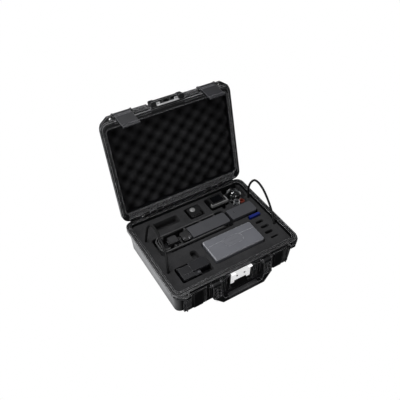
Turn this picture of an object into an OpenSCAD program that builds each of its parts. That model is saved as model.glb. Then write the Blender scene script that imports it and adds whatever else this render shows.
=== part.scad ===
// Hard transport case with a fitted kit: a folded camera drone, its controller,
// charger, spare battery and small accessories in a lift-out foam tray.
// Millimetres. X runs along the front, Y from front to back, Z up.
// The origin is the middle of the base's footprint on the floor.

/* [Case] */
// Width of the rim
case_w = 400; // [398:1:404]
// Depth of the rim, front to back
case_d = 300; // [299:1:304]
// Height of the base, floor to rim
base_h = 88; // [87:1:92]
// Height of the lid above the rim
lid_h = 43; // [42:1:50]
// Corner radius of the rim
rim_r = 22; // [18:1:26]
// Height of the thick rim band on base and lid
flange_h = 12; // [10:1:14]
// Thickness of the floor and of the lid's top
skin = 4.5; // [3.5:0.5:6]

/* [Rest pose] */
// How far the lid stands open, degrees
lid_open = 106; // [95:1:106]
// How far a latch leans in over the open lid's rim, degrees
latch_lean = 21; // [0:1:21]
// How far the handle stands out from straight down, degrees
handle_tilt = 10; // [9:1:14]

/* [Latches and handle] */
// Width of a latch
latch_w = 48; // [44:1:50]
// Length of a latch from its pin to its free end
latch_len = 64; // [60:1:66]
// Distance of each latch's middle from the case's middle
latch_x = 130; // [129:1:131]
// Outer width of the handle
handle_w = 188; // [184:2:192]
// Width of each handle arm
arm_w = 26; // [24:1:28]
// Reach of the handle from its pins to its grip
handle_len = 71; // [66:1:71]

/* [Foam] */
// Depth of the tray's top below the rim
tray_drop = 9; // [8:1:10]
// Thickness of the lift-out tray
tray_t = 50; // [48:1:52]

/* [Contents] */
// Length of the drone's battery, which is its back half
battery_l = 124; // [120:1:126]
// Width of the drone's battery
battery_w = 42; // [40:1:42]
// Length of the spare battery's top
spare_l = 86; // [80:1:88]
// Length of the controller
controller_l = 158; // [152:1:160]
// Width of the controller
controller_w = 76; // [72:1:78]

/* [Hidden] */

seam = 0.1;                     // between the shut lid's rim and the base's
rod_play = 0.05;                // radial play of a pin in its hole
eps = 0.02;
hull_fn = 32;                   // segments of a circle inside a hull
half_w = case_w / 2;
half_d = case_d / 2;
lid_top = base_h + lid_h;

// Hinge line at the back, just behind and above the rim
hinge_y = half_d + 0.6;
hinge_z = base_h + 6.1;
hinge_r = 6.3;
rod_r = 2.5;
knuckle_w = 20;
hinge_x = 105;

// Latch pin line, in the closed lid's frame
latch_y = -half_d - 9.5;
latch_z = base_h + 13;
latch_pin_r = 2;
barrel_r = 4.2;
plate_t = 3.4;
ear_t = 4;

// Handle pin line
handle_y = -half_d - 6.2;
handle_z = base_h - 14;
handle_pin_r = 2.5;
handle_t = 11;
bar_h = 12;
handle_half = handle_w / 2;
handle_cut = 27;                // the slanted corners of the handle
wall_y = -half_d + 5;           // the base's front wall, behind its bosses
plate_y = -half_d - 1.6;        // front of the padlock plate

// Padlock lugs at the front corners
lug_x = half_w - 33.5;
lug_y = -half_d - 4.5;
lug_hole_r = 4;
lug_t = 10;

// Foam
cavity_inset = 13;
tray_inset = 14.3;
foam_top = base_h - tray_drop;
foam_bottom = foam_top - tray_t;
lid_foam_face = base_h + 7;     // how low the lid's foam reaches, with the lid shut
lid_foam_back = 25;             // the lid's rim is wider at the back
lid_foam_front = 20.5;
lid_foam_side = 14.3;

// Contents: where each thing stands in the tray, and the floor under it
drone_y = 25;
drone_back = 71;                // x of the battery's back end
drone_front = -153;             // x of the guard's nose
deck_z = base_h;                // top of drone, batteries and controller
nose_x = -81.5;                 // front face of the drone's nose
guard_half = 30.5;
guard_y = drone_y + 3.7;
guard_t = 3.2;
guard_z = 78;
gimbal_x = -106;
gimbal_y = drone_y + 4;
gimbal_z = 74;
spare_x0 = 80;
battery_floor = 42;
controller_x = 35;
controller_y = -62.5;
controller_floor = 44;
charger_x = -105;
charger_y = -86;
charger_l = 86;
charger_w = 45;
charger_floor = 50;
cube_x = 5;
cube_y = 99;
cube_floor = 46;
action_x = 84;
action_y = 102;
action_floor = 52;
dome_x = 150;
dome_y = 106;
dome_r = 24;
dome_floor = 59.6;
cover_x = 150;
cover_y = 73;
cover_floor = 66;
stick_x = 146;
stick_y = -8;
stick_floor = 59;

// ---------- helpers ----------

module mirrored() {
    children();
    mirror([1, 0, 0]) children();
}

// Rounded rectangle outline, centred
module round_rect(w, d, r) {
    square([w - 2 * r, d], center = true);
    square([w, d - 2 * r], center = true);
    for (x = [-1, 1], y = [-1, 1])
        translate([x * (w / 2 - r), y * (d / 2 - r)])
            circle(r, $fn = 64);
}

// Rounded block: centre x, centre y, bottom z
module block(w, d, h, r) {
    linear_extrude(h) round_rect(w, d, r);
}

// Thin slab used as a section of a drafted tub
module section(inset, z, r) {
    translate([0, 0, z])
        linear_extrude(0.1)
            for (x = [-1, 1], y = [-1, 1])
                translate([x * (half_w - inset - r), y * (half_d - inset - r)])
                    circle(r, $fn = hull_fn);
}

// Box from one corner to the other
module span(a, b) {
    translate(a) cube(b - a);
}

// Rod along X, centred on x
module rod(x, y, z, r, l) {
    translate([x - l / 2, y, z])
        rotate([0, 90, 0])
            cylinder(r = r, h = l, $fn = 48);
}

// Moves the closed lid's frame to its open position
module at_lid() {
    translate([0, hinge_y, hinge_z])
        rotate([-lid_open, 0, 0])
            translate([0, -hinge_y, -hinge_z])
                children();
}

// A latch hangs from its pin: its own origin is the pin's middle
module at_latch(side) {
    at_lid()
        translate([side * latch_x, latch_y, latch_z])
            rotate([latch_lean, 0, 0])
                children();
}

// The handle hangs from its pins: its own origin is on the pin line
module at_handle() {
    translate([0, handle_y, handle_z])
        rotate([-handle_tilt, 0, 0])
            children();
}

// ---------- base ----------

module hinge_knuckles(base_side) {
    // two base knuckles stand outside the lid's one knuckle
    for (s = [-1, 1])
        if (base_side)
            for (k = [-1, 1])
                rod(s * hinge_x + k * (knuckle_w + 1), hinge_y, hinge_z, hinge_r, knuckle_w);
        else
            rod(s * hinge_x, hinge_y, hinge_z, hinge_r, knuckle_w + 1);
}

module base_hinge_arms() {
    for (s = [-1, 1], k = [-1, 1])
        translate([s * hinge_x + k * (knuckle_w + 1) - knuckle_w / 2, 0, 0])
            span([0, half_d - 4, base_h - 22], [knuckle_w, hinge_y + hinge_r, hinge_z]);
}

module lug_plate(z) {
    cut = 26;
    translate([0, 0, z])
        linear_extrude(lug_t)
            polygon([[half_w - 1, -half_d + 20], [half_w - cut - 1, -half_d + 20],
                [half_w - 41, -half_d + 2], [half_w - 41, lug_y - 8],
                [half_w - 26, lug_y - 8], [half_w - 6, -half_d + 2], [half_w - 1, -half_d + 12]]);
}

module lug_hole(z) {
    translate([lug_x, lug_y, z - eps])
        cylinder(r = lug_hole_r, h = lug_t + 2 * eps, $fn = 48);
}

// Front wall below the rim, with a slot beside each corner and thin ribs in the bays
module front_wall() {
    difference() {
        span([-half_w + 29, wall_y, 3], [half_w - 29, wall_y + 15, base_h - flange_h]);
        mirrored()
            span([half_w - 34, wall_y - 1, 8], [half_w - 30, wall_y + 2.6, base_h - 14]);
    }
    mirrored() {
        for (x = [151, 155, 159, 104, 108])
            span([x, wall_y - 2, 5], [x + 1.4, wall_y + 2, base_h - flange_h]);
        span([half_w - 38, wall_y - 3.5, 3], [half_w - 35.5, wall_y + 2, base_h - flange_h]);
    }
}

// Boss behind a latch, with a slanted outer side and a ledge on top
module latch_catch() {
    translate([latch_x, 0, 8])
        linear_extrude(base_h - flange_h - 8)
            polygon([[-17, wall_y + 4], [-17, wall_y - 2], [-13, wall_y - 5], [13, wall_y - 5],
                [20, wall_y + 1], [20, wall_y + 4]]);
    span([latch_x - latch_w / 2 + 2, -half_d - 3.5, base_h - 16],
        [latch_x + latch_w / 2 - 3, -half_d + 8, base_h - 10]);
}

// Two thin ears hold each handle arm between them
module handle_ears() {
    for (x = [handle_half + 0.6, handle_half - arm_w - ear_t - 0.6]) {
        span([x, handle_y, handle_z - 5], [x + ear_t, -half_d + 8, handle_z + 5]);
        span([x, handle_y + 4, 30], [x + ear_t, -half_d + 8, handle_z]);
        rod(x + ear_t / 2, handle_y, handle_z, 5, ear_t);
    }
}

// Pad, hooked ribs and slanted webs that guard the padlock plate
module plate_surround() {
    span([-33, plate_y + 1.5, 36], [33, -half_d + 12, base_h - 8]);
    span([-62, wall_y - 2.5, 3], [62, wall_y + 10, 42]);
    mirrored() {
        span([34.5, -half_d - 4, 19], [38, -half_d + 10, base_h - 8]);
        span([27, -half_d - 0.6, 15], [38, -half_d + 10, 19]);
        translate([0, -half_d + 8, 0])
            rotate([90, 0, 0])
                linear_extrude(12)
                    polygon([[37, base_h - 8], [37, base_h - 12],
                        [handle_half - arm_w - 2, base_h - 22],
                        [handle_half - arm_w - 2, base_h - 18]]);
        for (x = [44, 50, 56])
            span([x, wall_y - 4.5, 5], [x + 1.6, wall_y + 2, base_h - flange_h]);
    }
}

// Rim band of the base, with a row of open cells between the handle and the plate
module base_rim() {
    difference() {
        translate([0, 0, base_h - flange_h]) block(case_w, case_d, flange_h, rim_r);
        mirrored() {
            span([42, -half_d - 1, base_h - flange_h - 1], [99, -half_d + 5, base_h - 6.5]);
            span([42, -half_d - 1, base_h - 7], [99, -half_d + 2.2, base_h - 2]);
        }
    }
    rim_ribs(base_h - flange_h, base_h - 1.5, -half_d);
}

// Short upright ribs under the front rim
module rim_ribs(z0, z1, y0) {
    mirrored()
        for (i = [0:7])
            span([45.5 + i * 6.6, y0, z0], [47.5 + i * 6.6, y0 + 8, z1]);
}

module gasket_groove(extra, z, h) {
    translate([0, 0, z])
        linear_extrude(h)
            difference() {
                round_rect(case_w - 7 + extra, case_d - 7 + extra, rim_r - 3.5 + extra / 2);
                round_rect(case_w - 17 - extra, case_d - 17 - extra, rim_r - 8.5 - extra / 2);
            }
}

module base_shell() {
    color([0.075, 0.078, 0.085])
        difference() {
            union() {
                hull() {
                    section(14.5, 0, 15);
                    section(11, 5, 17);
                    section(6, base_h - flange_h, 20);
                }
                base_rim();
                front_wall();
                mirrored() {
                    latch_catch();
                    lug_plate(base_h - flange_h + 0.5);
                    handle_ears();
                }
                plate_surround();
                base_hinge_arms();
                hinge_knuckles(true);
            }
            hull() {
                section(cavity_inset + 10, skin, 12);
                section(cavity_inset + 1, skin + 9, 13);
                section(cavity_inset, base_h + 1, 13);
            }
            gasket_groove(0, base_h - 5, 6);
            mirrored() {
                lug_hole(base_h - flange_h + 0.5);
                rod(handle_half - arm_w / 2, handle_y, handle_z, handle_pin_r, arm_w + 12);
            }
            for (s = [-1, 1]) {
                rod(s * hinge_x, hinge_y, hinge_z, rod_r + 0.03, 3 * knuckle_w + 4);
                rod(s * hinge_x, hinge_y, hinge_z, hinge_r + 1, knuckle_w + 1.8);
            }
        }
}

module rim_gasket() {
    color([0.03, 0.03, 0.032]) gasket_groove(-0.3, base_h - 5, 3);
}

module lower_foam() {
    color([0.13, 0.13, 0.135])
        difference() {
            union() {
                translate([0, 0, skin + 0.2])
                    block(case_w - 2 * cavity_inset - 22, case_d - 2 * cavity_inset - 22, 10, 9);
                translate([0, 0, skin + 9.2])
                    block(case_w - 2 * cavity_inset - 6, case_d - 2 * cavity_inset - 6,
                        foam_bottom - skin - 9.4, 12);
            }
            translate([-80, 20, 14]) block(150, 170, 40, 8);
            translate([95, 20, 14]) block(120, 170, 40, 8);
        }
}

module hinge_rods() {
    color([0.7, 0.7, 0.72])
        for (s = [-1, 1])
            rod(s * hinge_x, hinge_y, hinge_z, rod_r, 3 * knuckle_w + 1.6);
}

// Bent steel plate with a padlock leg at each end
module base_padlock_plate() {
    color([0.85, 0.85, 0.86])
        difference() {
            union() {
                span([-31, plate_y, 44], [31, plate_y + 1.4, base_h - 8]);
                mirrored() {
                    span([20, plate_y, 36.5], [31, plate_y + 1.4, 45]);
                    span([22, plate_y - 7, base_h - 9.5], [33, plate_y + 1.4, base_h - 8]);
                }
            }
            for (x = [-1, 1], z = [42, 52, 64])
                translate([x * 26.5, plate_y - 1, z])
                    rotate([-90, 0, 0]) cylinder(r = 1.9, h = 4, $fn = 32);
            for (x = [-1, 1])
                translate([x * 27.5, plate_y - 3.6, base_h - 11])
                    cylinder(r = 1.8, h = 4, $fn = 32);
        }
}

module plate_rivets() {
    color([0.6, 0.6, 0.62])
        for (x = [-12, 12])
            translate([x, plate_y, 60])
                rotate([90, 0, 0]) {
                    cylinder(r = 3, h = 0.8, $fn = 32);
                    translate([0, 0, 0.8]) cylinder(r = 2, h = 0.5, $fn = 32);
                }
}

module handle_pins() {
    color([0.6, 0.6, 0.62])
        mirrored()
            rod(handle_half - arm_w / 2, handle_y, handle_z, handle_pin_r - rod_play, arm_w + 9);
}

// ---------- lid, drawn shut ----------

module lid_tub() {
    hull() {
        section(6, base_h + flange_h, 20);
        section(9, lid_top - 9, 20);
        section(17, lid_top - 0.1, 14);
    }
    translate([0, 0, base_h + seam]) block(case_w, case_d, flange_h - seam, rim_r);
}

// Ears that hold a latch's pin
module latch_ears(x) {
    for (s = [-1, 1])
        translate([x + s * (latch_w / 2 + ear_t / 2 + 0.4) - ear_t / 2, 0, 0]) {
            span([0, latch_y, latch_z - 5.5], [ear_t, -half_d + 8, latch_z + 5.5]);
            rod(ear_t / 2, latch_y, latch_z, 5.5, ear_t);
        }
    span([x - latch_w / 2, -half_d - 1, latch_z + 6],
        [x + latch_w / 2, -half_d + 12, latch_z + 10]);
}

// Slotted boxes over the handle arms
module side_boxes() {
    mirrored()
        difference() {
            span([56, -half_d - 9, base_h + 3], [100, -half_d + 12, base_h + 20]);
            for (i = [0:2]) {
                span([59, -half_d - 10, base_h + 5.5 + i * 4.6],
                    [97, -half_d - 5, base_h + 8 + i * 4.6]);
                span([54, -half_d - 7 + i * 3.8, base_h + 2], [102, -half_d - 5 + i * 3.8, base_h + 8]);
            }
        }
}

// Bridge over the padlock plate, with a rounded guard at each end
module centre_bridge() {
    mirrored() {
        translate([42.5, -half_d - 8.5, base_h - 2.5]) block(17, 15, 20, 4);
        span([34.5, -half_d - 5, base_h + 3], [51, -half_d + 14, base_h + 18]);
    }
    difference() {
        span([-36, -half_d - 14.5, base_h + 6], [36, -half_d + 14, base_h + 17]);
        for (x = [-22, 0, 22])
            span([x - 9, -half_d - 12.5, base_h + 5], [x + 9, -half_d - 3, base_h + 15]);
    }
    span([-36, -half_d - 2, base_h + 3], [36, -half_d + 14, base_h + 7]);
}

// Tongue on the lid's rim that presses on the gasket; it ends short of the hinge
module lid_tongue() {
    intersection() {
        gasket_groove(-1, base_h - 1.6, 2);
        span([-half_w, -half_d, base_h - 2], [half_w, half_d - 20, base_h + 2]);
    }
}

// Narrow groove round the foam, leaving a thin lip beside it
module lip_groove() {
    translate([0, (lid_foam_front - lid_foam_back) / 2, base_h - 1])
        linear_extrude(4)
            difference() {
                round_rect(case_w - 2 * lid_foam_side + 6.4,
                    case_d - lid_foam_front - lid_foam_back + 6.4, 13);
                round_rect(case_w - 2 * lid_foam_side + 3,
                    case_d - lid_foam_front - lid_foam_back + 3, 11.5);
            }
}

// Cross grooves and one long groove in the lid's wide rear land
module rear_grooves() {
    for (x = [-180:5:179])
        span([x, half_d - 20.5, base_h - 1], [x + 2.4, half_d - 9, base_h + 1.3]);
    span([-182, half_d - 6.5, base_h - 1], [182, half_d - 5, base_h + 2]);
}

// Ledge behind the lid: it comes down behind the base's rim and stops the lid
module stop_ledge() {
    for (x = [[-178, -139], [-71, 71], [139, 178]])
        span([x[0], half_d - 2, base_h + 9.6], [x[1], half_d + 8.6, base_h + flange_h]);
}

module lid_shell() {
    color([0.075, 0.078, 0.085])
        at_lid()
            difference() {
                union() {
                    lid_tub();
                    mirrored() lug_plate(base_h + 1.5);
                    for (s = [-1, 1]) latch_ears(s * latch_x);
                    side_boxes();
                    centre_bridge();
                    rim_ribs(base_h + 1, base_h + flange_h, -half_d - 2.5);
                    lid_tongue();
                    stop_ledge();
                    for (s = [-1, 1])
                        translate([s * hinge_x - (knuckle_w + 1) / 2, 0, 0])
                            span([0, half_d - 6, hinge_z],
                                [knuckle_w + 1, hinge_y + hinge_r, base_h + flange_h + 8]);
                    hinge_knuckles(false);
                }
                hull() {
                    translate([0, (lid_foam_front - lid_foam_back) / 2, 0]) {
                        lid_cavity(base_h - 1, 0);
                        lid_cavity(lid_top - skin, 2);
                    }
                }
                lip_groove();
                rear_grooves();
                mirrored() {
                    // step along the front, so the rim's land starts behind the boxes
                    span([52, -half_d - 20, base_h - 1], [lug_x - 9, -half_d + 3, base_h + 3]);
                    span([52, -half_d + 9.5, base_h - 1], [lug_x - 9, -half_d + 11, base_h + 2]);
                    lug_hole(base_h + 1.5);
                }
                for (s = [-1, 1]) {
                    rod(s * latch_x, latch_y, latch_z, latch_pin_r + rod_play, latch_w + 10);
                    rod(s * latch_x, latch_y, latch_z, barrel_r + 0.8, latch_w + 0.6);
                    rod(s * hinge_x, hinge_y, hinge_z, rod_r + 0.08, 3 * knuckle_w + 4);
                    for (k = [-1, 1])
                        translate([s * hinge_x + k * (knuckle_w + 1), 0, 0]) {
                            rod(0, hinge_y, hinge_z, hinge_r + 3.5, knuckle_w + 0.8);
                            span([-knuckle_w / 2 - 0.4, half_d - 6, base_h - 1],
                                [knuckle_w / 2 + 0.4, half_d + 12, hinge_z]);
                        }
                }
            }
}

// Corner circles of the lid's hollow, at one height
module lid_cavity(z, inset) {
    w = half_w - lid_foam_side - inset;
    d = half_d - (lid_foam_front + lid_foam_back) / 2 - inset;
    translate([0, 0, z])
        linear_extrude(0.1)
            for (x = [-1, 1], y = [-1, 1])
                translate([x * (w - 10), y * (d - 10)])
                    circle(10, $fn = hull_fn);
}

module lid_foam() {
    color([0.09, 0.09, 0.095])
        at_lid()
            translate([0, (lid_foam_front - lid_foam_back) / 2, lid_foam_face])
                block(case_w - 2 * (lid_foam_side + 2.6),
                    case_d - lid_foam_front - lid_foam_back - 5.2,
                    lid_top - skin - 0.4 - lid_foam_face, 8);
}

module lid_padlock_plate() {
    color([0.85, 0.85, 0.86])
        at_lid()
            difference() {
                union() {
                    span([-33, -half_d - 4.2, base_h - 7], [33, -half_d - 2.8, base_h + 2.9]);
                    mirrored()
                        span([22, -half_d - 10.5, base_h + 1.4], [33, -half_d - 2.8, base_h + 2.9]);
                }
                for (x = [-1, 1])
                    translate([x * 27.5, -half_d - 6.6, base_h])
                        cylinder(r = 1.8, h = 4, $fn = 32);
            }
}

// ---------- latches and handle ----------

module latch(side) {
    color([0.15, 0.152, 0.16])
        at_latch(side)
            difference() {
                union() {
                    rod(0, 0, 0, barrel_r, latch_w);
                    // outer plate with a flared lip, drawn as a side view
                    translate([-latch_w / 2, 0, 0])
                        rotate([90, 0, 90])
                            linear_extrude(latch_w)
                                polygon([[-barrel_r, 0], [-0.8, -3], [-0.8, -48], [-1.4, -54],
                                    [-0.4, -latch_len + 2], [-1.6, -latch_len],
                                    [-5.6, -latch_len], [-6.8, -latch_len + 2.5], [-6.4, -56],
                                    [-4.4, -53.5], [-4.4, -52.5], [-3.2, -52.5], [-3.2, -51],
                                    [-4.4, -51], [-4.4, -3]]);
                    for (x = [-latch_w / 2, latch_w / 2 - 3])
                        span([x, -1, -47], [x + 3, 2.2, -16]);
                    // two raised lines across the plate
                    for (z = [-9, -14])
                        span([-latch_w / 2 + 2, -5, z], [latch_w / 2 - 2, -4.2, z + 1.2]);
                }
                rod(0, 0, 0, latch_pin_r + rod_play, latch_w + 1);
            }
}

module latch_left() { latch(-1); }

module latch_right() { latch(1); }

module latch_pin(side) {
    color([0.6, 0.6, 0.62])
        at_latch(side) rod(0, 0, 0, latch_pin_r, latch_w + 8);
}

module latch_pin_left() { latch_pin(-1); }

module latch_pin_right() { latch_pin(1); }

// One arm: an open frame with slanted webs across it
module handle_arm() {
    x0 = handle_half - arm_w;
    x1 = handle_half;
    foot = -handle_len + handle_cut;
    difference() {
        span([x0, -handle_t / 2, foot - 2], [x1, handle_t / 2, 0]);
        span([x0 + 3.2, -handle_t, foot - 3], [x1 - 3.2, handle_t, -handle_t / 2 - 1.5]);
    }
    intersection() {
        span([x0 + 1, -handle_t / 2 + 0.6, foot - 1], [x1 - 1, handle_t / 2 - 0.6, -4]);
        for (i = [0:3], m = [-1, 1])
            translate([x0 + arm_w / 2 + m * 5.5, 0, -10 - i * 10])
                rotate([0, m * 38, 0])
                    cube([18, handle_t, 1.9], center = true);
    }
    span([x0 + arm_w / 2 - 1.1, -handle_t / 2 + 0.3, foot - 1],
        [x0 + arm_w / 2 + 1.1, handle_t / 2 - 0.3, -4]);
    rod(handle_half - arm_w / 2, 0, 0, handle_t / 2, arm_w);
}

module handle_frame() {
    c = handle_cut;
    h = handle_half;
    bar_top = -handle_len + bar_h;
    color([0.13, 0.132, 0.138])
        at_handle()
            difference() {
                union() {
                    mirrored() handle_arm();
                    translate([0, handle_t / 2, 0])
                        rotate([90, 0, 0])
                            linear_extrude(handle_t)
                                polygon([[-h, -handle_len + c], [-h + c, -handle_len],
                                    [h - c, -handle_len], [h, -handle_len + c],
                                    [h - arm_w, -handle_len + c],
                                    [h - arm_w - 8, bar_top], [-h + arm_w + 8, bar_top],
                                    [-h + arm_w, -handle_len + c]]);
                }
                mirrored()
                    rod(handle_half - arm_w / 2, 0, 0, handle_pin_r, arm_w + 2);
                // seat for the grip
                for (y = [-handle_t / 2 - 1, handle_t / 2 - 2])
                    span([-46.2, y, bar_top - 6], [46.2, y + 3, 0]);
                span([-46.2, -handle_t, bar_top - 2], [46.2, handle_t, 0]);
            }
}

// Soft grip in three segments over the bar's upper side
module handle_grip() {
    bar_top = -handle_len + bar_h;
    color([0.19, 0.19, 0.2])
        at_handle()
            difference() {
                for (i = [-1:1])
                    span([i * 30.4 - 14.9, -handle_t / 2 - 0.5, bar_top - 5.9],
                        [i * 30.4 + 14.9, handle_t / 2 + 0.5, bar_top + 1]);
                span([-47, -handle_t / 2 + 1.9, bar_top - 7],
                    [47, handle_t / 2 - 1.9, bar_top - 1.9]);
            }
}

// ---------- foam tray and cords ----------

// A pocket with rounded corners, down to a floor
module pocket(x, y, w, d, floor_z, r) {
    translate([x, y, floor_z - 0.2]) block(w, d, foam_top - floor_z + 1, r);
}

cord_x = [-171, 178];
cord_y = [68, -62];
cord_r = 2.2;
cord_hole_z = foam_top - 30;

module foam_tray() {
    cord_holes = [for (x = cord_x, y = cord_y) [x, y]];
    color([0.2, 0.2, 0.205])
        difference() {
            translate([0, 0, foam_bottom])
                block(case_w - 2 * tray_inset, case_d - 2 * tray_inset, tray_t, 12);
            pocket(-40, drone_y + 3, 236, 68, battery_floor, 8);
            pocket(spare_x0 + spare_l / 2 - 3, drone_y, spare_l + 12, 46, battery_floor, 5);
            pocket(controller_x, controller_y, controller_l + 5, controller_w + 5,
                controller_floor, 5);
            pocket(charger_x - 1.5, charger_y - 1, charger_l + 9, charger_w + 8, charger_floor, 3);
            pocket(charger_x + 25, charger_y + 38, 20, 38, charger_floor + 10, 9);
            pocket(-88, 101, 80, 29, cube_floor + 6, 4);
            pocket(cube_x, cube_y, 50, 46, cube_floor, 3);
            pocket(action_x, action_y - 2, 64, 52, action_floor, 4);
            pocket(action_x + 8, action_y - 30, 12, 16, action_floor + 12, 4);
            pocket(dome_x, dome_y, 62, 58, dome_floor, 8);
            pocket(cover_x - 6, cover_y - 4, 50, 24, cover_floor, 5);
            pocket(stick_x, stick_y, 40, 13, stick_floor, 2);
            for (i = [0:3])
                pocket(146 + (i % 2) * 3, -34 - i * 22.6, 26, i < 3 ? 8.5 : 5, foam_top - 16, 2);
            for (c = cord_holes)
                translate([c[0], c[1], cord_hole_z - 1]) cylinder(r = 3.4, h = 40, $fn = 32);
        }
}

// A cord loop: two legs in the tray and an arch between them
module cord_loop(x, leg) {
    r = (cord_y[0] - cord_y[1]) / 2;
    mid_y = (cord_y[0] + cord_y[1]) / 2;
    for (y = cord_y)
        translate([x, y, cord_hole_z]) cylinder(r = cord_r, h = 30 + leg, $fn = 32);
    translate([x, mid_y, foam_top + leg])
        rotate([90, 0, 90])
            rotate_extrude(angle = 180, $fn = 96)
                translate([r, 0]) circle(cord_r, $fn = 32);
}

module lift_cords() {
    color([0.05, 0.05, 0.055]) {
        cord_loop(cord_x[0], 6);
        cord_loop(cord_x[1], 34);
    }
}

// ---------- drone ----------

module drone_hull() {
    back = drone_back - 4;
    color([0.12, 0.12, 0.125])
        difference() {
            union() {
                translate([(nose_x + 8 + back) / 2, drone_y, battery_floor])
                    block(back - nose_x - 8, battery_w - 4, 24, 8);
                translate([nose_x + 13, drone_y - 1, battery_floor])
                    block(26, 34, deck_z - 3 - battery_floor, 7);
                // the folded arms lie along both sides and carry the guard's rails
                for (s = [-1, 1])
                    translate([-4, drone_y + s * 22.3, 54]) block(116, 10, guard_z - 54, 4);
            }
            translate([nose_x, gimbal_y, gimbal_z])
                rotate([0, 90, 0]) cylinder(r = 7, h = 6.5, $fn = 48);
            for (i = [0:1])
                translate([nose_x + 5.5 + i * 15, drone_y - 7 - i * 4, deck_z - 6])
                    cylinder(r = 5.1, h = 6, $fn = 48);
        }
}

module drone_battery() {
    x0 = drone_back - battery_l;
    color([0.36, 0.36, 0.37])
        difference() {
            union() {
                translate([drone_back - battery_l / 2 - 4, drone_y, 66.2])
                    block(battery_l - 8, battery_w - 7.6, deck_z - 69.2, 7);
                translate([drone_back - battery_l / 2, drone_y, deck_z - 7])
                    block(battery_l, battery_w, 7, 7);
                span([x0, drone_y - battery_w / 2, deck_z - 7],
                    [x0 + 14, drone_y + battery_w / 2, deck_z]);
            }
            // finger notch under the front edge of the cover
            span([x0 - 1, drone_y - 8, deck_z - 8], [x0 + 1.2, drone_y + 8, deck_z - 1.4]);
        }
}

// The guard's outline: a rounded nose and straight sides
module guard_outline(inset) {
    w = guard_half - inset;
    translate([drone_front + inset + 45, guard_y]) round_rect(90, 2 * w, w - 11);
    translate([drone_front + inset + 45, guard_y - w]) square([156 - inset, 2 * w]);
}

// Two slim rails joined by a double hoop round the gimbal
module drone_guard() {
    rail_end = drone_front + 199;
    color([0.3, 0.3, 0.31]) {
        translate([0, 0, guard_z])
            linear_extrude(6)
                difference() {
                    guard_outline(0);
                    guard_outline(guard_t);
                    translate([rail_end, guard_y - 40]) square([20, 80]);
                }
        translate([0, 0, guard_z - 4])
            linear_extrude(10)
                intersection() {
                    difference() {
                        guard_outline(7.5);
                        guard_outline(10);
                    }
                    translate([drone_front, guard_y - 30]) square([27, 60]);
                }
        // short bars between the two hoops
        for (y = [-15, -5, 5, 15])
            translate([drone_front + 2.8, guard_y + y - 1.1, guard_z]) cube([5.5, 2.2, 4]);
        for (s = [-1, 1])
            translate([drone_front + 20, guard_y + s * 25, guard_z + 2])
                cube([2.2, 7, 4], center = true);
        // tabs that rest on the arms
        for (x = [-58, -6, 42], s = [-1, 1])
            span([x, guard_y + s * 28.9 - (s > 0 ? 10 : 0), guard_z],
                [x + 5, guard_y + s * 28.9 + (s > 0 ? 0 : 6), guard_z + 2.5]);
    }
}

module drone_eyes() {
    color([0.55, 0.55, 0.56])
        for (i = [0:1])
            translate([nose_x + 5.5 + i * 15, drone_y - 7 - i * 4, deck_z - 5.9]) {
                cylinder(r = 5, h = 3.6, $fn = 48);
                translate([0, 0, 3.6]) cylinder(r = 3.6, h = 1.2, $fn = 48);
            }
}

// The yoke turns about X in the nose, and holds the camera on one side
module gimbal_yoke() {
    color([0.17, 0.17, 0.18])
        difference() {
            union() {
                translate([nose_x - 4, gimbal_y, gimbal_z])
                    rotate([0, 90, 0]) cylinder(r = 6.9, h = 3.2, $fn = 48);
                translate([nose_x - 1, gimbal_y, gimbal_z])
                    rotate([0, 90, 0]) cylinder(r = 5, h = 6.5, $fn = 48);
                span([nose_x - 7.5, gimbal_y - 24, gimbal_z - 7],
                    [nose_x - 3.5, gimbal_y + 6, gimbal_z + 6]);
                span([gimbal_x, gimbal_y - 24, gimbal_z - 7],
                    [nose_x - 4, gimbal_y - 19, gimbal_z + 6]);
                translate([gimbal_x, gimbal_y - 19, gimbal_z])
                    rotate([90, 0, 0]) cylinder(r = 9, h = 5, $fn = 48);
            }
            translate([gimbal_x, gimbal_y - 15, gimbal_z])
                rotate([90, 0, 0]) cylinder(r = 3, h = 12, $fn = 48);
        }
}

module gimbal_camera() {
    color([0.33, 0.33, 0.34])
        difference() {
            union() {
                translate([gimbal_x, gimbal_y + 1, gimbal_z - 11]) block(26, 25, 22, 4);
                translate([gimbal_x, gimbal_y - 9, gimbal_z])
                    rotate([90, 0, 0]) cylinder(r = 3 - rod_play, h = 14.5, $fn = 48);
                translate([gimbal_x - 11, gimbal_y + 2, gimbal_z])
                    rotate([0, -90, 0]) cylinder(r = 9, h = 6, $fn = 64);
            }
            translate([gimbal_x - 13, gimbal_y + 2, gimbal_z])
                rotate([0, -90, 0]) cylinder(r = 7.6, h = 6, $fn = 64);
        }
}

module camera_lens() {
    color([0.05, 0.06, 0.09])
        translate([gimbal_x - 13.1, gimbal_y + 2, gimbal_z])
            rotate([0, -90, 0]) {
                cylinder(r = 7.5, h = 2.2, $fn = 64);
                translate([0, 0, 2.2]) cylinder(r = 5.5, h = 1, $fn = 64);
            }
}

module spare_battery() {
    color([0.36, 0.36, 0.37])
        difference() {
            union() {
                translate([spare_x0 + spare_l / 2, drone_y, battery_floor])
                    block(spare_l - 6, battery_w - 4, deck_z - 6.9 - battery_floor, 6);
                translate([0, 0, deck_z - 7])
                    linear_extrude(7)
                        difference() {
                            translate([spare_x0 + spare_l / 2, drone_y])
                                round_rect(spare_l, battery_w - 1, 2);
                            translate([spare_x0 + spare_l, drone_y - battery_w / 2])
                                rotate(45) square([9, 9], center = true);
                        }
            }
            translate([spare_x0 + 18, drone_y + 2, deck_z - 3])
                rotate([0, 0, 90]) block(10, 3.2, 4, 1.5);
        }
}

// ---------- controller ----------

seam_y = controller_y + 14;

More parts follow.
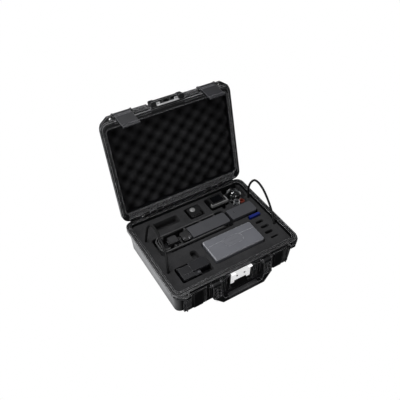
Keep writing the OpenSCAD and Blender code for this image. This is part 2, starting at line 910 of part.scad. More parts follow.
module controller_body(part) {
    w = controller_l;
    d = controller_w;
    translate([controller_x, controller_y, 0])
        intersection() {
            union() {
                translate([0, 0, controller_floor]) block(w, d, deck_z - 2 - controller_floor, 5);
                translate([0, 0, deck_z - 2.01]) block(w - 2.4, d - 2.4, 2.01, 4);
            }
            if (part == "lower")
                span([-w, -d, 40], [w, seam_y - controller_y - 0.25, deck_z + 2]);
            else
                span([-w, seam_y - controller_y + 0.25, 40], [w, d, deck_z + 2]);
        }
}

module badge_recess(extra, depth) {
    translate([controller_x + 1, controller_y + 3, deck_z - depth])
        block(58 + extra, 28 + extra, depth + 1, 11);
}

module controller_lower() {
    color([0.46, 0.47, 0.49])
        difference() {
            controller_body("lower");
            badge_recess(1.2, 1.4);
        }
}

module controller_upper() {
    color([0.46, 0.47, 0.49])
        difference() {
            controller_body("upper");
            badge_recess(1.2, 1.4);
        }
}

module controller_badge() {
    color([0.48, 0.49, 0.51]) {
        translate([controller_x + 1, controller_y + 3, deck_z - 1.35])
            block(58, 28, 1.15, 10.7);
        translate([controller_x + 1, controller_y + 3, deck_z - 0.2])
            block(31, 2.6, 0.4, 1.2);
    }
}

// ---------- charger ----------

charger_top = foam_top + 4;

module charger_body() {
    color([0.16, 0.165, 0.17])
        translate([charger_x, charger_y, 0])
            difference() {
                translate([0, 0, charger_floor])
                    block(charger_l, charger_w, charger_top - 4 - charger_floor, 2);
                // open front corner
                span([10, -charger_w / 2 - 1, 60], [charger_l / 2 + 1, -charger_w / 2 + 14, 90]);
                span([-charger_l / 2 + 8, charger_w / 2 - 4, charger_top - 7],
                    [-6, charger_w / 2 + 1, charger_top]);
            }
}

module charger_lid() {
    top = charger_top - 3.9;
    color([0.2, 0.205, 0.21])
        translate([charger_x, charger_y, 0])
            difference() {
                union() {
                    span([-charger_l / 2, -charger_w / 2, top], [-10, charger_w / 2 - 5, top + 3.9]);
                    span([-9.4, -charger_w / 2 + 14.5, top], [charger_l / 2, charger_w / 2, top + 3.9]);
                }
                for (i = [0:2])
                    span([-charger_l / 2 + 6 + i * 9, -8, top + 3],
                        [-charger_l / 2 + 11 + i * 9, -6.6, top + 5]);
                translate([-28, -14, top + 2.9]) cylinder(r = 2.6, h = 2, $fn = 32);
            }
}

module charger_plug() {
    color([0.4, 0.4, 0.41])
        translate([charger_x + 4, charger_y - charger_w / 2 + 4.5, charger_top - 3.8])
            block(7.5, 6.5, 3.6, 2);
}

// ---------- small cameras ----------

module cube_camera() {
    color([0.13, 0.13, 0.135])
        translate([cube_x + 2, cube_y - 1, 0])
            difference() {
                union() {
                    translate([0, 0, cube_floor]) block(40, 38, 34, 4);
                    translate([0, 0, cube_floor + 33.9]) block(34, 32, 3, 3);
                }
                translate([-6, 6, 77]) cylinder(r = 8.1, h = 8, $fn = 64);
                span([12, -19.5, 60], [22, -6, 84]);
            }
}

module cube_camera_lens() {
    color([0.5, 0.5, 0.51])
        translate([cube_x - 4, cube_y + 5, 77.1]) {
            cylinder(r = 8, h = 7, $fn = 64);
            translate([0, 0, 7]) cylinder(r = 5.5, h = 1.2, $fn = 64);
        }
}

action_top = base_h + 2.6;

module action_camera() {
    color([0.07, 0.07, 0.075])
        translate([action_x, action_y, 0])
            difference() {
                translate([0, 0, action_floor]) block(50, 38, action_top - action_floor, 5);
                translate([0, 0, action_top - 1.4]) block(36, 26, 3, 3);
                span([-21, 12.4, action_top - 3], [-12, 20, action_top + 1]);
            }
}

// Bright metal frame round the front and one side
module action_camera_frame() {
    color([0.8, 0.8, 0.81])
        translate([action_x, action_y, action_top - 8.5])
            linear_extrude(9)
                union() {
                    translate([-25.6, -22.2]) square([54, 2.9]);
                    translate([25.4, -22.2]) square([3, 22]);
                    translate([-28.2, -22.2]) square([2.8, 9]);
                }
}

module action_camera_screen() {
    color([0.03, 0.03, 0.035])
        translate([action_x, action_y, action_top - 1.35]) block(35.6, 25.6, 1.2, 2.8);
}

// ---------- spare dome, lens cover, stick and ring ----------

module clear_dome() {
    color([0.85, 0.9, 0.95, 0.35])
        translate([dome_x, dome_y, dome_floor + 8.4])
            rotate_extrude($fn = 96)
                difference() {
                    intersection() {
                        circle(dome_r, $fn = 96);
                        square([dome_r + 1, 23.2]);
                    }
                    intersection() {
                        circle(dome_r - 1.8, $fn = 96);
                        translate([0, -1]) square([dome_r + 1, 22.6]);
                    }
                }
}

module dome_base() {
    color([0.1, 0.1, 0.105])
        translate([dome_x, dome_y, dome_floor])
            difference() {
                cylinder(r = dome_r + 2, h = 8.2, $fn = 96);
                translate([0, 0, 3]) cylinder(r = dome_r - 4, h = 6, $fn = 96);
            }
}

module lens_cover() {
    color([0.85, 0.9, 0.95, 0.35])
        translate([cover_x - 14, cover_y - 4, cover_floor])
            difference() {
                cylinder(r = 9.5, h = 16, $fn = 64);
                translate([0, 0, -1]) cylinder(r = 8, h = 15.6, $fn = 64);
            }
}

module sealing_ring() {
    color([0.45, 0.07, 0.05])
        translate([cover_x + 5, cover_y - 4, cover_floor])
            difference() {
                cylinder(r = 8.5, h = 9, $fn = 64);
                translate([0, 0, 2]) cylinder(r = 6.2, h = 14, $fn = 64);
            }
}

module memory_stick() {
    color([0.05, 0.12, 0.6])
        translate([stick_x - 5, stick_y, stick_floor]) block(25, 8.5, 25.4, 1.5);
}

module memory_stick_cap() {
    color([0.06, 0.14, 0.66])
        translate([stick_x + 13, stick_y, stick_floor]) block(10.4, 9, 25.8, 1.5);
}

base_shell();
rim_gasket();
lower_foam();
hinge_rods();
base_padlock_plate();
plate_rivets();
handle_pins();
lid_shell();
lid_foam();
lid_padlock_plate();
latch_left();
latch_right();
latch_pin_left();
latch_pin_right();
handle_frame();
handle_grip();
foam_tray();
lift_cords();
drone_hull();
drone_battery();
drone_guard();
drone_eyes();
gimbal_yoke();
gimbal_camera();
camera_lens();
spare_battery();
controller_lower();
controller_upper();
controller_badge();
charger_body();
charger_lid();
charger_plug();
cube_camera();
cube_camera_lens();
action_camera();
action_camera_frame();
action_camera_screen();
clear_dome();
dome_base();
lens_cover();
memory_stick();
memory_stick_cap();
sealing_ring();
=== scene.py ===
"""Metres."""
import math

import bmesh
import bpy
import numpy as np
from mathutils import Matrix, Vector, noise


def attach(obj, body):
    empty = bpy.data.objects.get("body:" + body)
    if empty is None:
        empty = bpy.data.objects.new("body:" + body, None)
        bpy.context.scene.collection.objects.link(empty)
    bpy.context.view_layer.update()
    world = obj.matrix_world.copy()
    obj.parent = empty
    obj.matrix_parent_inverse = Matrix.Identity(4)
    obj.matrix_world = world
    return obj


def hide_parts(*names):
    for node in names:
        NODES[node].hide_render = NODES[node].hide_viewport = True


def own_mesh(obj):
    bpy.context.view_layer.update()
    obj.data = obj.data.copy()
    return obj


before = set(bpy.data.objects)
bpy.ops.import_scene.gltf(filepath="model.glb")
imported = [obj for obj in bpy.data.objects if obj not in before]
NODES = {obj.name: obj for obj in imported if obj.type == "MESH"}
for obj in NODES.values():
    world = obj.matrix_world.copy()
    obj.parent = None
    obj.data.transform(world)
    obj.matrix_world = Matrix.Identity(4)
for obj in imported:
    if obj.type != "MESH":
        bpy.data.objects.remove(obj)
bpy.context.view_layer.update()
MM = 0.001

# ---------------------------------------------------------------- materials


def new_material(name):
    m = bpy.data.materials.new(name)
    m.use_nodes = True
    m.node_tree.nodes.clear()
    return m, m.node_tree.nodes, m.node_tree.links


def add(nodes, kind, **values):
    n = nodes.new(kind)
    for key, value in values.items():
        if key in n.inputs:
            n.inputs[key].default_value = value
        else:
            setattr(n, key, value)
    return n


def ramp(nodes, lo, hi, a=(0, 0, 0, 1), b=(1, 1, 1, 1)):
    r = nodes.new("ShaderNodeValToRGB")
    r.color_ramp.elements[0].position = lo
    r.color_ramp.elements[0].color = a
    r.color_ramp.elements[1].position = hi
    r.color_ramp.elements[1].color = b
    return r


def times(nodes, links, a, b):
    """The product of the socket a and b, a socket or a number."""
    n = add(nodes, "ShaderNodeMath", operation="MULTIPLY")
    links.new(a, n.inputs[0])
    if isinstance(b, float):
        n.inputs[1].default_value = b
    else:
        links.new(b, n.inputs[1])
    return n.outputs[0]


def fade(nodes, links, source, start, end, low=0.0, high=1.0):
    """low where source is at start, high where it is at end, and held beyond both."""
    n = add(nodes, "ShaderNodeMapRange")
    n.inputs["From Min"].default_value = start
    n.inputs["From Max"].default_value = end
    n.inputs["To Min"].default_value = low
    n.inputs["To Max"].default_value = high
    links.new(source, n.inputs["Value"])
    return n.outputs[0]


def by_ray(nodes, links, seen, shine, felt):
    """The camera meets seen, reflections meet shine, and every other ray meets felt."""
    path = add(nodes, "ShaderNodeLightPath")
    unseen = add(nodes, "ShaderNodeMixShader")
    links.new(path.outputs["Is Glossy Ray"], unseen.inputs[0])
    links.new(felt.outputs[0], unseen.inputs[1])
    links.new(shine.outputs[0], unseen.inputs[2])
    mix = add(nodes, "ShaderNodeMixShader")
    links.new(path.outputs["Is Camera Ray"], mix.inputs[0])
    links.new(unseen.outputs[0], mix.inputs[1])
    links.new(seen.outputs[0], mix.inputs[2])
    return mix.outputs[0]


def rgba(c, k=1.0):
    return (c[0] * k, c[1] * k, c[2] * k, 1)


def surface(
    name,
    base,
    rough,
    metallic=0.0,
    grain=900.0,
    grain_depth=0.03,
    cells=False,
    mottle=0.18,
    wear_and_highlight=0.0,
    wear_and_highlight_colour=(0.09, 0.09, 0.095),
    bevel=0.6,
    specular=0.5,
    sheen=0.0,
    coat=0.0,
    painted_glow=0.0,
    brushed=None,
    shade_by=None,
):
    """A textured finish: grain in the bump and the roughness, slow mottling in the colour,
    lighter edges that are part scuffing and part painted highlight, painted shade in the
    hollows where shade_by names the mesh attribute that says how high each point stands,
    and painted light where the part emits its own base colour."""
    m, nodes, links = new_material(name)
    out = add(nodes, "ShaderNodeOutputMaterial")
    bsdf = add(nodes, "ShaderNodeBsdfPrincipled", Metallic=metallic)
    bsdf.inputs["Specular IOR Level"].default_value = specular
    bsdf.inputs["Sheen Weight"].default_value = sheen
    bsdf.inputs["Sheen Roughness"].default_value = 0.6
    bsdf.inputs["Coat Weight"].default_value = coat
    bsdf.inputs["Coat Roughness"].default_value = 0.12
    # the base colour emitted: painted light, for parts that are no lamp
    bsdf.inputs["Emission Color"].default_value = rgba(base)
    bsdf.inputs["Emission Strength"].default_value = painted_glow
    links.new(bsdf.outputs[0], out.inputs[0])
    where = add(nodes, "ShaderNodeTexCoord")
    place = where.outputs["Object"]
    if brushed:
        stretch = add(nodes, "ShaderNodeMapping")
        stretch.inputs["Scale"].default_value = brushed
        links.new(place, stretch.inputs["Vector"])
        fine_place = stretch.outputs[0]
    else:
        fine_place = place

    slow = add(nodes, "ShaderNodeTexNoise", Scale=22.0, Detail=4.0, Roughness=0.6)
    links.new(place, slow.inputs["Vector"])
    if cells:
        fine = add(nodes, "ShaderNodeTexVoronoi", Scale=grain)
        fine_out = fine.outputs["Distance"]
    else:
        fine = add(nodes, "ShaderNodeTexNoise", Scale=grain, Detail=3.0, Roughness=0.65)
        fine_out = fine.outputs["Fac"]
    links.new(fine_place, fine.inputs["Vector"])

    # colour: slow mottling, then grain, then lighter edges that are part scuffing and part painted
    # highlight
    shade = ramp(nodes, 0.3, 0.7, rgba(base, 1 - mottle), rgba(base, 1 + mottle))
    links.new(slow.outputs["Fac"], shade.inputs[0])
    speck = ramp(nodes, 0.25, 0.75, rgba((1, 1, 1), 1 - mottle), rgba((1, 1, 1), 1 + mottle * 0.6))
    links.new(fine_out, speck.inputs[0])
    mixed = add(nodes, "ShaderNodeMix", data_type="RGBA", blend_type="MULTIPLY")
    mixed.inputs["Factor"].default_value = 1.0
    links.new(shade.outputs[0], mixed.inputs[6])
    links.new(speck.outputs[0], mixed.inputs[7])
    colour = mixed.outputs[2]
    # painted shade: the colour darkens towards the valleys, read from the named height attribute
    if shade_by:
        depth = add(nodes, "ShaderNodeAttribute", attribute_name=shade_by)
        hollow_shade = ramp(nodes, 0.1, 0.9, (0.32, 0.32, 0.32, 1), (1.0, 1.0, 1.0, 1))
        links.new(depth.outputs["Fac"], hollow_shade.inputs[0])
        shaded = add(nodes, "ShaderNodeMix", data_type="RGBA", blend_type="MULTIPLY")
        shaded.inputs["Factor"].default_value = 1.0
        links.new(colour, shaded.inputs[6])
        links.new(hollow_shade.outputs[0], shaded.inputs[7])
        colour = shaded.outputs[2]

    round_edge = add(nodes, "ShaderNodeBevel", samples=6, Radius=bevel * MM)
    # lighter edges: part scuffing, part painted highlight standing in for light caught on rounded edges
    if wear_and_highlight > 0:
        edge = add(nodes, "ShaderNodeBevel", samples=6, Radius=bevel * MM)
        flat = add(nodes, "ShaderNodeNewGeometry")
        dot = add(nodes, "ShaderNodeVectorMath", operation="DOT_PRODUCT")
        links.new(edge.outputs[0], dot.inputs[0])
        links.new(flat.outputs["Normal"], dot.inputs[1])
        on_edge = ramp(nodes, 0.84, 0.985, (1, 1, 1, 1), (0, 0, 0, 1))
        links.new(dot.outputs["Value"], on_edge.inputs[0])
        patchy = add(nodes, "ShaderNodeTexNoise", Scale=140.0, Detail=5.0, Roughness=0.7)
        links.new(place, patchy.inputs["Vector"])
        patch = ramp(nodes, 0.42, 0.62, (0.5, 0.5, 0.5, 1), (1, 1, 1, 1))
        links.new(patchy.outputs["Fac"], patch.inputs[0])
        both = times(nodes, links, on_edge.outputs[0], patch.outputs[0])
        amount = times(nodes, links, both, wear_and_highlight)
        worn_and_lit = add(nodes, "ShaderNodeMix", data_type="RGBA")
        links.new(amount, worn_and_lit.inputs["Factor"])
        links.new(colour, worn_and_lit.inputs[6])
        worn_and_lit.inputs[7].default_value = rgba(wear_and_highlight_colour)
        colour = worn_and_lit.outputs[2]
    links.new(colour, bsdf.inputs["Base Color"])

    # roughness from both scales
    low, high = max(0.02, rough - 0.07), min(1.0, rough + 0.07)
    r_slow = fade(nodes, links, slow.outputs["Fac"], 0.0, 1.0, low, high)
    r_fine = add(nodes, "ShaderNodeMath", operation="MULTIPLY_ADD")
    links.new(fine_out, r_fine.inputs[0])
    r_fine.inputs[1].default_value = 0.08
    links.new(r_slow, r_fine.inputs[2])
    links.new(r_fine.outputs[0], bsdf.inputs["Roughness"])

    bump = add(nodes, "ShaderNodeBump", Strength=1.0, Distance=grain_depth * MM)
    links.new(fine_out, bump.inputs["Height"])
    if bevel > 0:
        links.new(round_edge.outputs[0], bump.inputs["Normal"])
    links.new(bump.outputs[0], bsdf.inputs["Normal"])
    return m


def clear_plastic(name):
    """Smudged clear plastic, with broken white streaks of painted reflection, emitted where it turns away
    from the eye.
    """
    m, nodes, links = new_material(name)
    out = add(nodes, "ShaderNodeOutputMaterial")
    glass = add(nodes, "ShaderNodeBsdfPrincipled")
    glass.inputs["Base Color"].default_value = (0.93, 0.95, 0.97, 1)
    glass.inputs["Transmission Weight"].default_value = 1.0
    glass.inputs["IOR"].default_value = 1.46
    place = add(nodes, "ShaderNodeTexCoord")
    smudge = add(nodes, "ShaderNodeTexNoise", Scale=90.0, Detail=3.0)
    links.new(place.outputs["Object"], smudge.inputs["Vector"])
    rough = ramp(nodes, 0.45, 0.75, (0.02, 0.02, 0.02, 1), (0.16, 0.16, 0.16, 1))
    links.new(smudge.outputs["Fac"], rough.inputs[0])
    links.new(rough.outputs[0], glass.inputs["Roughness"])
    bump = add(nodes, "ShaderNodeBump", Strength=0.3, Distance=0.02 * MM)
    links.new(smudge.outputs["Fac"], bump.inputs["Height"])
    links.new(bump.outputs[0], glass.inputs["Normal"])
    # painted reflection: white emission where the surface turns away from the eye, broken up by noise
    edge = add(nodes, "ShaderNodeLayerWeight", Blend=0.4)
    turned = ramp(nodes, 0.35, 0.85)
    links.new(edge.outputs["Facing"], turned.inputs[0])
    broken = add(nodes, "ShaderNodeTexNoise", Scale=60.0, Detail=2.0)
    links.new(place.outputs["Object"], broken.inputs["Vector"])
    streak = ramp(nodes, 0.47, 0.6)
    links.new(broken.outputs["Fac"], streak.inputs[0])
    painted_glint = times(nodes, links, turned.outputs[0], streak.outputs[0])
    faint = times(nodes, links, painted_glint, 0.3)
    glass.inputs["Emission Color"].default_value = (1, 1, 1, 1)
    links.new(faint, glass.inputs["Emission Strength"])
    links.new(glass.outputs[0], out.inputs[0])
    return m


# The light edge colours below are part scuffing and part painted highlight along rounded edges.
CASE = surface("case_plastic", (0.0034, 0.0035, 0.0042), 0.32, grain=1500, grain_depth=0.035,
               wear_and_highlight=1.0, wear_and_highlight_colour=(0.8, 0.8, 0.82), bevel=1.15, specular=0.38)
HANDLE = surface("handle_plastic", (0.007, 0.0072, 0.0082), 0.36, grain=1300, grain_depth=0.025,
                 wear_and_highlight=1.0, wear_and_highlight_colour=(0.9, 0.9, 0.92), bevel=1.4, specular=0.4)
LATCH = surface("latch_plastic", (0.012, 0.0122, 0.0148), 0.42, grain=1500, grain_depth=0.025,
                wear_and_highlight=1.0, wear_and_highlight_colour=(0.45, 0.45, 0.48), bevel=1.1)
GRIP = surface("grip_rubber", (0.05, 0.05, 0.053), 0.62, grain=700, grain_depth=0.08, bevel=1.2,
               wear_and_highlight=0.8, wear_and_highlight_colour=(0.4, 0.4, 0.41))
GASKET = surface("gasket_rubber", (0.0025, 0.0025, 0.003), 0.6, grain=800, grain_depth=0.02)
FOAM = surface("tray_foam", (0.034, 0.034, 0.0355), 0.95, grain=1100, grain_depth=0.35, cells=True,
               mottle=0.22, bevel=0.0, specular=0.03, sheen=0.05)
LID_FOAM = surface("lid_foam", (0.026, 0.026, 0.0275), 0.95, grain=900, grain_depth=0.4, cells=True,
                   mottle=0.22, bevel=0.0, specular=0.02, sheen=0.02, shade_by="depth")
CORD = surface("cord_braid", (0.0045, 0.0045, 0.005), 0.6, grain=2500, grain_depth=0.1, bevel=0.0,
               specular=0.3)
# Both steel plates emit their colour: painted light standing in for the bright reflections on them.
STEEL = surface("bright_steel", (0.95, 0.95, 0.95), 0.3, metallic=0.25, grain=260, grain_depth=0.006,
                mottle=0.04, brushed=(0.15, 1, 6), bevel=0.35, painted_glow=0.6)
PLATE = surface("lid_plate_steel", (0.6, 0.6, 0.61), 0.32, metallic=0.45, grain=260, grain_depth=0.01,
                mottle=0.2, brushed=(0.3, 2, 6), bevel=0.5, painted_glow=0.1)
PIN = surface("pin_steel", (0.42, 0.42, 0.43), 0.34, metallic=1.0, grain=500, grain_depth=0.006,
              mottle=0.1, brushed=(0.2, 3, 3), bevel=0.3)
DRONE = surface("drone_plastic", (0.006, 0.006, 0.0066), 0.42, grain=1700, grain_depth=0.02, bevel=0.7,
                wear_and_highlight=0.5, wear_and_highlight_colour=(0.06, 0.06, 0.062))
RAIL = surface("drone_rail", (0.06, 0.06, 0.062), 0.3, grain=1200, grain_depth=0.012, bevel=0.5,
               wear_and_highlight=0.9, wear_and_highlight_colour=(0.3, 0.3, 0.3))
TRIM = surface("drone_trim", (0.016, 0.016, 0.0175), 0.34, grain=1200, grain_depth=0.012, bevel=0.5,
               wear_and_highlight=0.7, wear_and_highlight_colour=(0.14, 0.14, 0.145))
BATTERY = surface("battery_plastic", (0.047, 0.048, 0.054), 0.45, grain=2000, grain_depth=0.012,
                  mottle=0.07, bevel=0.8, wear_and_highlight=0.4, wear_and_highlight_colour=(0.12, 0.12, 0.13))
EYE = surface("eye_metal", (0.35, 0.35, 0.36), 0.16, metallic=0.9, grain=900, grain_depth=0.01, bevel=0.4)
LENS = surface("lens_glass", (0.004, 0.005, 0.009), 0.06, grain=500, grain_depth=0.001,
               specular=0.9, coat=1.0, bevel=0.2)
CONTROLLER = surface("controller_plastic", (0.126, 0.13, 0.147), 0.42, grain=2200, grain_depth=0.01,
                     mottle=0.05, bevel=1.5, wear_and_highlight=1.0, wear_and_highlight_colour=(0.8, 0.81, 0.85))
SCREEN = surface("screen_glass", (0.003, 0.0032, 0.004), 0.12, grain=500, grain_depth=0.001,
                 specular=0.35, bevel=0.2)
BADGE = surface("badge_plastic", (0.14, 0.143, 0.16), 0.36, grain=2000, grain_depth=0.008,
                mottle=0.05, bevel=0.3)
CHARGER = surface("charger_plastic", (0.0042, 0.0045, 0.0064), 0.42, grain=1500, grain_depth=0.02,
                  bevel=1.0, wear_and_highlight=1.0, wear_and_highlight_colour=(0.2, 0.2, 0.21), specular=0.28)
BODY = surface("camera_plastic", (0.005, 0.005, 0.0055), 0.34, grain=1600, grain_depth=0.02, bevel=0.7,
               wear_and_highlight=0.6, wear_and_highlight_colour=(0.09, 0.09, 0.092))
FRAME_METAL = surface("frame_metal", (0.5, 0.5, 0.5), 0.25, metallic=0.6, grain=400,
                      grain_depth=0.006, mottle=0.08, bevel=0.4)
CLEAR = clear_plastic("clear_plastic")
BLUE = surface("blue_plastic", (0.002, 0.011, 0.15), 0.3, grain=900, grain_depth=0.006, bevel=0.5, coat=0.3)
RED = surface("red_rubber", (0.16, 0.018, 0.007), 0.4, grain=900, grain_depth=0.01, bevel=0.4)

PAINT = {
    "base_shell": CASE, "lid_shell": CASE, "rim_gasket": GASKET, "hinge_rods": PIN,
    "base_padlock_plate": STEEL, "lid_padlock_plate": PLATE, "plate_rivets": PIN, "handle_pins": PIN,
    "latch_left": LATCH, "latch_right": LATCH, "latch_pin_left": PIN, "latch_pin_right": PIN,
    "handle_frame": HANDLE, "handle_grip": GRIP,
    "drone_hull": DRONE, "drone_battery": BATTERY, "drone_guard": RAIL, "drone_eyes": EYE,
    "gimbal_yoke": DRONE, "gimbal_camera": TRIM, "camera_lens": LENS, "spare_battery": BATTERY,
    "controller_lower": CONTROLLER, "controller_upper": CONTROLLER, "controller_badge": BADGE,
    "charger_body": CHARGER, "charger_lid": CHARGER, "charger_plug": BATTERY,
    "cube_camera": BODY, "cube_camera_lens": FRAME_METAL, "action_camera": BODY,
    "action_camera_frame": FRAME_METAL, "action_camera_screen": SCREEN,
    "clear_dome": CLEAR, "dome_base": BODY, "lens_cover": CLEAR, "sealing_ring": RED,
    "memory_stick": BLUE, "memory_stick_cap": BLUE,
}
for node, material in PAINT.items():
    mesh = NODES[node].data
    mesh.materials.clear()
    mesh.materials.append(material)

# ---------------------------------------------------------------- helpers for new pieces


def make_object(name, bm, material, smooth=True):
    mesh = bpy.data.meshes.new(name)
    bm.to_mesh(mesh)
    bm.free()
    for p in mesh.polygons:
        p.use_smooth = smooth
    mesh.materials.append(material)
    o = bpy.data.objects.new(name, mesh)
    bpy.context.scene.collection.objects.link(o)
    return o


def applied(o):
    """o with its modifiers turned into mesh."""
    dg = bpy.context.evaluated_depsgraph_get()
    mesh = bpy.data.meshes.new_from_object(o.evaluated_get(dg))
    o.modifiers.clear()
    o.data = mesh
    return o


def soft_copy(node, name, material, voxel, amount, scale, smooth_steps=2):
    """A cut foam piece in the space of a CAD solid: its edges are soft and its faces uneven."""
    mesh = NODES[node].data.copy()
    o = bpy.data.objects.new(name, mesh)
    bpy.context.scene.collection.objects.link(o)
    mod = o.modifiers.new("remesh", "REMESH")
    mod.mode = "VOXEL"
    mod.voxel_size = voxel * MM
    mod = o.modifiers.new("smooth", "SMOOTH")
    mod.factor = 0.5
    mod.iterations = smooth_steps
    applied(o)
    mesh = o.data
    mesh.materials.clear()
    mesh.materials.append(material)
    n = len(mesh.vertices)
    co = np.empty(n * 3, np.float32)
    mesh.vertices.foreach_get("co", co)
    co = co.reshape(-1, 3)
    normal = np.empty(n * 3, np.float32)
    mesh.vertices.foreach_get("normal", normal)
    normal = normal.reshape(-1, 3)
    push = np.array([noise.noise(Vector(c) * scale) - 0.5 for c in co], np.float32)
    co += normal * (push[:, None] * amount * MM)
    mesh.vertices.foreach_set("co", co.ravel())
    for p in mesh.polygons:
        p.use_smooth = True
    mesh.update()
    return o


# ---------------------------------------------------------------- the foam tray

tray = soft_copy("foam_tray", "tray_foam", FOAM, 1.7, 0.5, 420.0)
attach(tray, "tray")
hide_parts("foam_tray")

under = soft_copy("lower_foam", "padding_foam", FOAM, 3.0, 0.8, 260.0)
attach(under, "base")
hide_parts("lower_foam")

# ---------------------------------------------------------------- the lid's egg-crate foam

LID_OPEN = math.radians(106.0)
HINGE = Vector((0, 150.6, 94.1)) * MM
OPEN = (
    Matrix.Translation(HINGE)
    @ Matrix.Rotation(-LID_OPEN, 4, "X")
    @ Matrix.Translation(-HINGE)
)
CRATE_X, CRATE_Y = 50.25, 45.75  # the pattern's periods
CRATE_X0, CRATE_Y0 = 13.5, -20.5  # a peak's place
CRATE_TOP, CRATE_LOW = 95.6, 108.5  # peaks and valleys, lid shut
CRATE_BACK = 126.0  # where the foam meets the lid, lid shut
CRATE_HALF_X, CRATE_FRONT, CRATE_REAR = 183.4, -127.0, 122.4
CRATE_STEP = 2.6


def crate_height(x, y):
    wave = math.cos(2 * math.pi * (x - CRATE_X0) / CRATE_X) * math.cos(
        2 * math.pi * (y - CRATE_Y0) / CRATE_Y
    )
    swell = 0.5 + 0.5 * wave
    swell = swell ** 0.8
    wobble = noise.noise(Vector((x, y, 3)) * 0.06) * 0.6 + noise.noise(Vector((x, y, 9)) * 0.5) * 0.25
    return CRATE_LOW + (CRATE_TOP - CRATE_LOW) * swell + wobble


def crate_foam():
    """The foam as one closed mesh in the open lid, with the height of each point kept in it."""
    half_x, y0, y1 = CRATE_HALF_X, CRATE_FRONT, CRATE_REAR
    nx = round(2 * half_x / CRATE_STEP)
    ny = round((y1 - y0) / CRATE_STEP)
    bm = bmesh.new()
    rows = []
    for j in range(ny + 1):
        y = y0 + (y1 - y0) * j / ny
        row = []
        for i in range(nx + 1):
            x = -half_x + 2 * half_x * i / nx
            z = crate_height(x, y)
            row.append(bm.verts.new(OPEN @ (Vector((x, y, z)) * MM)))
        rows.append(row)
    for j in range(ny):
        for i in range(nx):
            bm.faces.new((rows[j][i], rows[j + 1][i], rows[j + 1][i + 1], rows[j][i + 1]))
    # sides down to the lid, and a flat back
    rim = (
        rows[0]
        + [rows[j][nx] for j in range(1, ny + 1)]
        + [rows[ny][i] for i in range(nx - 1, -1, -1)]
        + [rows[j][0] for j in range(ny - 1, 0, -1)]
    )
    inverse = OPEN.inverted()
    back = []
    for v in rim:
        p = inverse @ v.co
        back.append(bm.verts.new(OPEN @ Vector((p.x, p.y, CRATE_BACK * MM))))
    n = len(rim)
    for k in range(n):
        bm.faces.new((rim[k], rim[(k + 1) % n], back[(k + 1) % n], back[k]))
    bm.faces.new(list(reversed(back)))
    bmesh.ops.recalc_face_normals(bm, faces=bm.faces)
    o = make_object("lid_foam_crate", bm, LID_FOAM)
    # this height darkens the foam in its material: painted shade in the valleys
    depth = o.data.attributes.new("depth", "FLOAT", "POINT")
    for v, store in zip(o.data.vertices, depth.data):
        z = (inverse @ v.co).z / MM
        store.value = min(1.0, max(0.0, (CRATE_LOW - z) / (CRATE_LOW - CRATE_TOP)))
    return o


crate = crate_foam()
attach(crate, "lid")
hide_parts("lid_foam")

# ---------------------------------------------------------------- lift cords

CORD_RADIUS = 3.3


def smooth_path(points, count):
    """Catmull-Rom through the points."""
    pts = [Vector(p) for p in points]
    pts = [pts[0] * 2 - pts[1]] + pts + [pts[-1] * 2 - pts[-2]]
    out = []
    spans = len(pts) - 3
    for k in range(count + 1):
        t = k / count * spans
        i = min(int(t), spans - 1)
        u = t - i
        a, b, c, d = pts[i : i + 4]
        bend = 2 * a - 5 * b + 4 * c - d
        twist = 3 * b - a - 3 * c + d
        out.append(0.5 * (2 * b + (c - a) * u + bend * u * u + twist * u ** 3))
    return out


def braided(name, points, radius, material, count=420, around=16, plaits=8, twist=0.55):
    """A braided cord: two families of strands wind opposite ways round it."""
    path = smooth_path(points, count)
    bm = bmesh.new()
    rings = []
    side = None
    length = 0.0
    for k, p in enumerate(path):
        ahead = (path[min(k + 1, count)] - path[max(k - 1, 0)]).normalized()
        if side is None:
            side = ahead.orthogonal().normalized()
        side = (side - ahead * side.dot(ahead)).normalized()
        up = ahead.cross(side)
        if k:
            length += (p - path[k - 1]).length
        ring = []
        for a in range(around):
            ang = 2 * math.pi * a / around
            left = math.cos(plaits * 0.5 * ang + length * twist * math.pi)
            right = math.cos(plaits * 0.5 * ang - length * twist * math.pi)
            r = radius * (1 + 0.13 * max(left, right) - 0.09)
            ring.append(bm.verts.new((p + side * math.cos(ang) * r + up * math.sin(ang) * r) * MM))
        rings.append(ring)
    for k in range(count):
        for a in range(around):
            b = (a + 1) % around
            bm.faces.new((rings[k][a], rings[k][b], rings[k + 1][b], rings[k + 1][a]))
    bm.faces.new(list(reversed(rings[0])))
    bm.faces.new(rings[-1])
    return make_object(name, bm, material)


right_cord = braided(
    "lift_cord_right",
    [(178, 68, 52), (178, 68, 80), (175, 67, 110), (175, 62, 138), (179, 50, 160), (185, 36, 159),
     (189, 16, 146), (191, -6, 124), (187, -30, 107), (179, -54, 92), (178, -62, 76), (178, -62, 52)],
    CORD_RADIUS, CORD,
)
left_cord = braided(
    "lift_cord_left",
    [(-171, 68, 52), (-171, 68, 80), (-168, 66, 108), (-165, 62, 134), (-161, 54, 150),
     (-156, 42, 152), (-153, 26, 143), (-154, 8, 133), (-156, -14, 123), (-161, -36, 112),
     (-169, -55, 98), (-171, -62, 78), (-171, -62, 52)],
    CORD_RADIUS, CORD,
)
# each cord goes with the tray and gets a mesh of its own
for cord, lean, foot in ((right_cord, 0.2, 0.178), (left_cord, 0.27, -0.171)):
    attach(cord, "tray")
    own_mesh(cord)
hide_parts("lift_cords")

# ---------------------------------------------------------------- floor, light and camera

scene = bpy.context.scene
scene.view_settings.view_transform = "Standard"


# axis, middle, where the painted shadow ends, where it is full
SHADOW_GAP = (("X", 0.005, 0.087, 0.076), ("Y", 0.0, 0.162, 0.153))
# from, to, strength at from, strength at to
SHEET_INNER = (-0.17, -0.205, 0.1, 2.0)
SHEET_OUTER = (-0.212, -0.29, 1.0, 0.1)
SHEET_FRONT = (-0.17, -0.04, 0.3, 1.0)


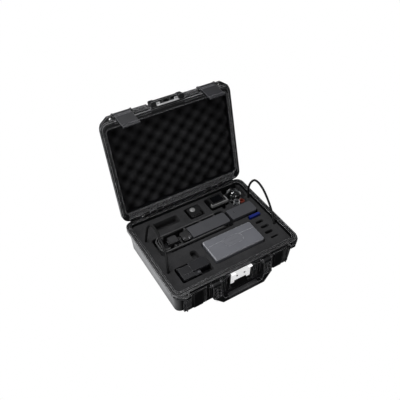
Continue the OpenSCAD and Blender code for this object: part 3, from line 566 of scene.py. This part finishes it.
def studio_floor():
    """White to the camera, save a painted contact shadow in the handle's gap; reflections see a bright
    sheet along the case's left side.
    """
    bm = bmesh.new()
    bmesh.ops.create_grid(bm, x_segments=1, y_segments=1, size=6)
    mesh = bpy.data.meshes.new("studio_floor")
    bm.to_mesh(mesh)
    bm.free()
    o = bpy.data.objects.new("studio_floor", mesh)
    o.location.z = -0.0005
    scene.collection.objects.link(o)
    m, nodes, links = new_material("studio_floor")
    out = add(nodes, "ShaderNodeOutputMaterial")
    seen = add(nodes, "ShaderNodeEmission", Strength=1.0)
    felt = add(nodes, "ShaderNodeBsdfDiffuse", Color=(0.2, 0.2, 0.205, 1))
    sheet = add(nodes, "ShaderNodeEmission", Color=(0.97, 0.98, 1.0, 1))
    where = add(nodes, "ShaderNodeTexCoord")
    axes = add(nodes, "ShaderNodeSeparateXYZ")
    links.new(where.outputs["Object"], axes.inputs[0])
    # the painted contact shadow in the gap between the base's front and the hanging handle
    in_gap = None
    for axis, middle, outside, inside in SHADOW_GAP:
        moved = add(nodes, "ShaderNodeMath", operation="SUBTRACT")
        links.new(axes.outputs[axis], moved.inputs[0])
        moved.inputs[1].default_value = middle
        size = add(nodes, "ShaderNodeMath", operation="ABSOLUTE")
        links.new(moved.outputs[0], size.inputs[0])
        within = fade(nodes, links, size.outputs[0], outside, inside)
        in_gap = within if in_gap is None else times(nodes, links, in_gap, within)
    covered = add(nodes, "ShaderNodeAmbientOcclusion", samples=8, Distance=0.05)
    hemmed_in = ramp(nodes, 0.52, 0.66, (1, 1, 1, 1), (0, 0, 0, 1))
    links.new(covered.outputs["AO"], hemmed_in.inputs[0])
    dark = times(nodes, links, in_gap, hemmed_in.outputs[0])
    tone = ramp(nodes, 0.0, 1.0, (1, 1, 1, 1), (0.004, 0.004, 0.0045, 1))
    links.new(dark, tone.inputs[0])
    links.new(tone.outputs[0], seen.inputs["Color"])
    # the sheet that the left wall reflects
    inner = fade(nodes, links, axes.outputs["X"], *SHEET_INNER)
    outer = fade(nodes, links, axes.outputs["X"], *SHEET_OUTER)
    front = fade(nodes, links, axes.outputs["Y"], *SHEET_FRONT)
    across = times(nodes, links, inner, outer)
    links.new(times(nodes, links, across, front), sheet.inputs["Strength"])
    links.new(by_ray(nodes, links, seen, sheet, felt), out.inputs[0])
    mesh.materials.append(m)


def studio_world():
    """White to the camera, soft grey to reflections, and dim as a light."""
    world = bpy.data.worlds.new("studio")
    scene.world = world
    world.use_nodes = True
    nodes, links = world.node_tree.nodes, world.node_tree.links
    nodes.clear()
    out = add(nodes, "ShaderNodeOutputWorld")
    seen = add(nodes, "ShaderNodeBackground", Color=(1, 1, 1, 1), Strength=1.0)
    shine = add(nodes, "ShaderNodeBackground", Color=(0.96, 0.97, 1.0, 1), Strength=0.17)
    felt = add(nodes, "ShaderNodeBackground", Color=(0.97, 0.98, 1.0, 1), Strength=0.08)
    links.new(by_ray(nodes, links, seen, shine, felt), out.inputs[0])


def soft_light(name, place, target, size, watts):
    data = bpy.data.lights.new(name, "AREA")
    data.shape = "RECTANGLE"
    data.size, data.size_y = size
    data.energy = watts
    o = bpy.data.objects.new(name, data)
    o.location = place
    aim = Vector(target) - Vector(place)
    o.rotation_euler = aim.to_track_quat("-Z", "Y").to_euler()
    o.visible_camera = False
    scene.collection.objects.link(o)


studio_floor()
studio_world()
soft_light("overhead", (-0.35, 0.4, 1.7), (0, 0, 0.05), (1.2, 1.0), 25)
soft_light("left_side", (-1.4, -0.2, 0.7), (-0.1, 0, 0.08), (0.7, 0.9), 6)
soft_light("front_fill", (0.25, -1.6, 0.8), (0, 0, 0.12), (0.9, 0.5), 4)

camera_data = bpy.data.cameras.new("photo_view")
camera_data.lens = 45.374
camera_data.sensor_width = 36.0
camera_data.clip_start = 0.02
camera = bpy.data.objects.new("photo_view", camera_data)
camera.location = (-0.53455, -0.81669, 1.12992)
camera.rotation_euler = (0.81386, -0.002379, -0.545807)
scene.collection.objects.link(camera)
scene.camera = camera
